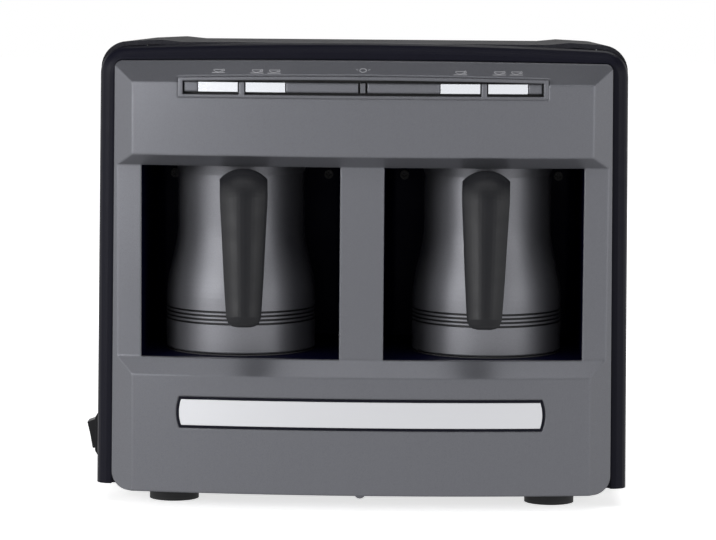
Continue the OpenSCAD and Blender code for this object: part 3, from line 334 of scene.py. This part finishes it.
# For each slot of the record, and for the print: the function that makes its material, its
# colour, and the other settings.
LOOKS = {
    "panel_grey": (metallic_lacquer, (0.135, 0.138, 0.155), {}),
    "pot_metal": (metallic_lacquer, (0.18, 0.182, 0.2),
                  dict(roughness=0.5, metallic=0.6, edge=0.3 * MM, painted_shade_grooves=GROOVE_HEIGHTS)),
    "rim_black": (satin_plastic, (0.006, 0.006, 0.012), dict(roughness=0.38, gloss=0.1)),
    "casing_black": (grained_plastic, (0.015, 0.015, 0.019), dict(gloss=0.09)),
    "inner_black": (satin_plastic, (0.008, 0.008, 0.010), dict(roughness=0.45)),
    "liner_black": (dark_interior, (0.0015, 0.0015, 0.014), {}),
    "switch_black": (satin_plastic, (0.007, 0.007, 0.009), dict(roughness=0.34, gloss=0.2)),
    "handle_black": (satin_plastic, (0.011, 0.0113, 0.0135),
                     dict(roughness=0.42, edge=0.8 * MM, gloss=0.22)),
    "button_chrome": (bright_metal, (0.80, 0.82, 0.86), dict(roughness=0.22)),
    "plate_silver": (brushed_metal, (0.66, 0.665, 0.69), dict(roughness=0.34)),
    "sheet_steel": (brushed_metal, (0.52, 0.53, 0.55), dict(roughness=0.32)),
    "screw_steel": (bright_metal, (0.48, 0.48, 0.50), dict(roughness=0.28)),
    "screw_black": (satin_plastic, (0.006, 0.006, 0.010), dict(roughness=0.4, gloss=0.3)),
    "heater_steel": (brushed_metal, (0.26, 0.26, 0.27), dict(roughness=0.42)),
    "hotplate_dark": (brushed_metal, (0.025, 0.025, 0.028),
                      dict(roughness=0.5, along=(1.0, 1.0, 1.0))),
    "brass": (bright_metal, (0.62, 0.45, 0.18), dict(roughness=0.26)),
    "lens_clear": (light_guide, (0.14, 0.143, 0.16), {}),
    "led_white": (satin_plastic, (0.75, 0.72, 0.62), dict(roughness=0.3)),
    "board_green": (circuit_board, (0.02, 0.12, 0.05), {}),
    "relay_blue": (satin_plastic, (0.02, 0.07, 0.28), dict(roughness=0.35)),
    "transformer_yellow": (satin_plastic, (0.45, 0.33, 0.06), dict(roughness=0.45)),
    "capacitor_sleeve": (satin_plastic, (0.03, 0.04, 0.12), dict(roughness=0.25)),
    "block_white": (satin_plastic, (0.62, 0.60, 0.54), dict(roughness=0.45)),
    "ceramic": (satin_plastic, (0.52, 0.48, 0.40), dict(roughness=0.6)),
    "cable_grey": (satin_plastic, (0.26, 0.28, 0.31), dict(roughness=0.5)),
    "foot_rubber": (rubber, (0.003, 0.003, 0.004), {}),
    "seal_silicone": (rubber, (0.018, 0.018, 0.020), {}),
    "print": (satin_plastic, (0.34, 0.34, 0.36), dict(roughness=0.5)),
}

materials = {name: make(name, color, **more) for name, (make, color, more) in LOOKS.items()}


# ---------- the CAD nodes ----------

# Degrees between two faces from which their edge shows as sharp.
SHARP_FROM = 28
SHARP_FROM_ON_HANDLES = 75


def dress_nodes():
    """Gives each CAD node its slot's material, and smooth shading but at its sharp edges."""
    for entry in frame["record"]["subparts"]:
        node = nodes[entry["node"]]
        node.data.materials.clear()
        node.data.materials.append(materials[entry["material_slot"]])
        for face in node.data.polygons:
            face.use_smooth = True
        on_handle = entry["node"].startswith("pot_handle")
        smooth = node.modifiers.new("smooth", "EDGE_SPLIT")
        smooth.split_angle = radians(SHARP_FROM_ON_HANDLES if on_handle else SHARP_FROM)


dress_nodes()


# ---------- printed pictograms ----------

PRINT_Z = BEVEL_Z + 5.9 * MM
PRINT_LINE = 0.38 * MM
PRINT_FILM = 0.03 * MM
SAME_POINT = 1e-6

# Millimetres from a button's middle to each of its two cups.
CUP_FROM_MIDDLE = 4.4


def on_bevel(x, up):
    """A point on the panel's top bevel, x across and up along its slope from the line of print."""
    z = PRINT_Z + up * cos(BEVEL_SLOPE)
    radius = BOW_R - (z - BEVEL_Z) + PRINT_FILM
    return Vector((x, FRONT + BOW_R - sqrt(radius * radius - x * x), z))


def arc(centre, radius, start, end, steps, squash=1.0):
    """Points of an arc in the print's plane, angles in degrees."""
    turns = [radians(start + (end - start) * i / steps) for i in range(steps + 1)]
    return [(centre[0] + radius * cos(t), centre[1] + radius * squash * sin(t)) for t in turns]


def cup_lines(x):
    """Lines of a small coffee cup on its saucer, in millimetres, its middle at x."""
    bowl = arc((x - 0.3, 1.2), 2.3, 180, 360, 16, squash=0.75)
    ear = arc((x + 2.0, 0.8), 0.85, 80, -110, 8)
    saucer = [(x - 3.5, -1.0), (x + 3.3, -1.0)]
    return [bowl + [bowl[0]], ear, saucer]


def ready_lines(x):
    """Lines of the mark over the light, in millimetres: a ring between two dashes."""
    ring = arc((x, 1.5), 1.7, 0, 360, 24, squash=0.75)
    left_dash = [(x - 3.7, 2.2), (x - 2.5, 1.6)]
    right_dash = [(x + 2.5, 1.6), (x + 3.7, 2.2)]
    return [ring, left_dash, right_dash]


def print_lines(name, lines):
    """One thin mesh that follows the bevel along all these lines."""
    mesh = bpy.data.meshes.new(name)
    printed = bpy.data.objects.new(name, mesh)
    work = bmesh.new()
    for line in lines:
        points = [Vector(p) * MM for p in line]
        closed = (points[0] - points[-1]).length < SAME_POINT
        if closed:
            points = points[:-1]
        rails = []
        for i, point in enumerate(points):
            before = points[i - 1] if closed or i else points[i]
            after = points[(i + 1) % len(points)] if closed or i < len(points) - 1 else points[i]
            way = (after - before).normalized()
            side = Vector((-way.y, way.x)) * PRINT_LINE / 2
            rails.append([work.verts.new(on_bevel(*(point + side))),
                          work.verts.new(on_bevel(*(point - side)))])
        for i in range(len(rails) - (0 if closed else 1)):
            first, second = rails[i], rails[(i + 1) % len(rails)]
            work.faces.new((first[0], first[1], second[1], second[0]))
    bmesh.ops.recalc_face_normals(work, faces=work.faces)
    work.to_mesh(mesh)
    work.free()
    bpy.context.scene.collection.objects.link(printed)
    mesh.materials.append(materials["print"])
    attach(printed, "appliance")


def button_middle(node):
    """How far right of the machine's middle a button is, in millimetres."""
    low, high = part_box(node)
    return (low.x + high.x) / 2 / MM


def print_pictograms():
    """One or two cups over each button, and a mark over the light."""
    for node in ("button_left_one_cup", "button_right_one_cup"):
        print_lines("print_" + node, cup_lines(button_middle(node)))
    for node in ("button_left_two_cups", "button_right_two_cups"):
        middle = button_middle(node)
        print_lines("print_" + node,
                    cup_lines(middle - CUP_FROM_MIDDLE) + cup_lines(middle + CUP_FROM_MIDDLE))
    print_lines("print_ready", ready_lines(0.0))


print_pictograms()


# ---------- stage and light ----------

FLOOR_HALF = 6
FLOOR_WHITE = (0.95, 0.95, 0.95)
FLOOR_TO_THE_PART = (0.3, 0.3, 0.3)

# The floor's own glow to the camera grows with the distance from the part's middle, in metres.
GLOW_FROM, GLOW_FULL = 0.2, 0.6
GLOW_NEAR, GLOW_FAR = 0.7, 1.0

# Heights of a direction, from -1 to 1, between which the backdrop fades out of reflections.
MIRRORED_TO, MIRRORED_FADED = 0.12, 0.32

# The room's light on the part: height of the direction it comes from, and strength.
ROOM = [(-1.0, 0.5), (-0.6, 0.3), (-0.28, 0.33), (-0.12, 1.04), (0.12, 1.04), (0.32, 0.12),
        (1.0, 0.06)]

PART_MIDDLE = (0, 0, 0.12)

# Name, place, point aimed at, width and height, and power in watts.
LAMPS = [
    ("key_left", (-1.4, -1.45, 0.42), PART_MIDDLE, (0.9, 0.9), 8.6),
    ("fill_right", (1.5, -1.45, 0.42), PART_MIDDLE, (0.7, 0.9), 5.2),
    ("side_left", (-2.0, -0.75, 0.7), PART_MIDDLE, (1.5, 1.3), 9),
    ("side_right", (2.0, -0.75, 0.7), PART_MIDDLE, (1.5, 1.3), 6),
    ("back_above", (0.5, 1.5, 2.0), PART_MIDDLE, (1.6, 1.2), 9),
    ("front_above", (0, -0.95, 1.65), PART_MIDDLE, (2.4, 0.6), 12.5),
    ("corner_left", (-0.62, -0.95, 0.42), (-0.13, -0.1, 0.22), (0.3, 0.3), 2.6),
]


def make_floor():
    """A floor that looks white and keeps the part's soft shadow, but lights it less from below."""
    mesh = bpy.data.meshes.new("floor")
    floor = bpy.data.objects.new("floor", mesh)
    work = bmesh.new()
    bmesh.ops.create_grid(work, x_segments=1, y_segments=1, size=FLOOR_HALF)
    work.to_mesh(mesh)
    work.free()
    bpy.context.scene.collection.objects.link(floor)
    s = Shader("floor_white", FLOOR_WHITE, roughness=0.9, Specular_IOR_Level=0.0)
    seen = s.seen()
    s.color(s.mix(seen, FLOOR_TO_THE_PART, FLOOR_WHITE))
    distance = s.node("ShaderNodeVectorMath", operation="LENGTH")
    s.join(s.where, distance, "Vector")
    glow = s.remap(distance.outputs["Value"], GLOW_FROM, GLOW_FULL, GLOW_NEAR, GLOW_FAR)
    s.set(s.surface, "Emission Color", WHITE)
    s.join(s.math("MULTIPLY", seen, glow), s.surface, "Emission Strength")
    mesh.materials.append(s.material)
    floor.visible_glossy = False


def area_light(name, at, aim, size, power):
    data = bpy.data.lights.new(name, "AREA")
    data.shape = "RECTANGLE"
    data.size, data.size_y = size
    data.energy = power
    light = bpy.data.objects.new(name, data)
    light.location = at
    light.rotation_euler = (Vector(aim) - Vector(at)).to_track_quat("-Z", "Y").to_euler()
    bpy.context.scene.collection.objects.link(light)


def make_world():
    """White where it is seen, and in reflections up to a little over the horizon.

    All other light is the room's, whose strength changes with the height it comes from.
    """
    world = bpy.data.worlds.new("white_room")
    bpy.context.scene.world = world
    world.use_nodes = True
    w = Nodes(world.node_tree)
    background = w.tree.nodes["Background"]
    w.set(background, "Color", WHITE)
    height = w.rise(w.node("ShaderNodeTexCoord").outputs["Generated"])

    room = w.node("ShaderNodeValToRGB")
    stops = room.color_ramp.elements
    while len(stops) < len(ROOM):
        stops.new(0.5)
    for stop, (step, strength) in zip(stops, ROOM):
        stop.position = (step + 1) / 2
        stop.color = (strength, strength, strength, 1)
    w.join(w.remap(height, -1, 1, 0, 1), room, "Fac")

    glossy = w.node("ShaderNodeLightPath").outputs["Is Glossy Ray"]
    mirrored = w.math("MULTIPLY", glossy, w.remap(height, MIRRORED_TO, MIRRORED_FADED, 1, 0))
    white = w.node("ShaderNodeMix")
    w.join(w.math("MAXIMUM", w.seen(), mirrored), white, "Factor")
    w.join(room.outputs["Color"], white, "A")
    w.set(white, "B", 1.0)
    w.join(white.outputs["Result"], background, "Strength")


make_floor()
make_world()
for lamp in LAMPS:
    area_light(*lamp)

bpy.context.scene.view_settings.view_transform = "Standard"
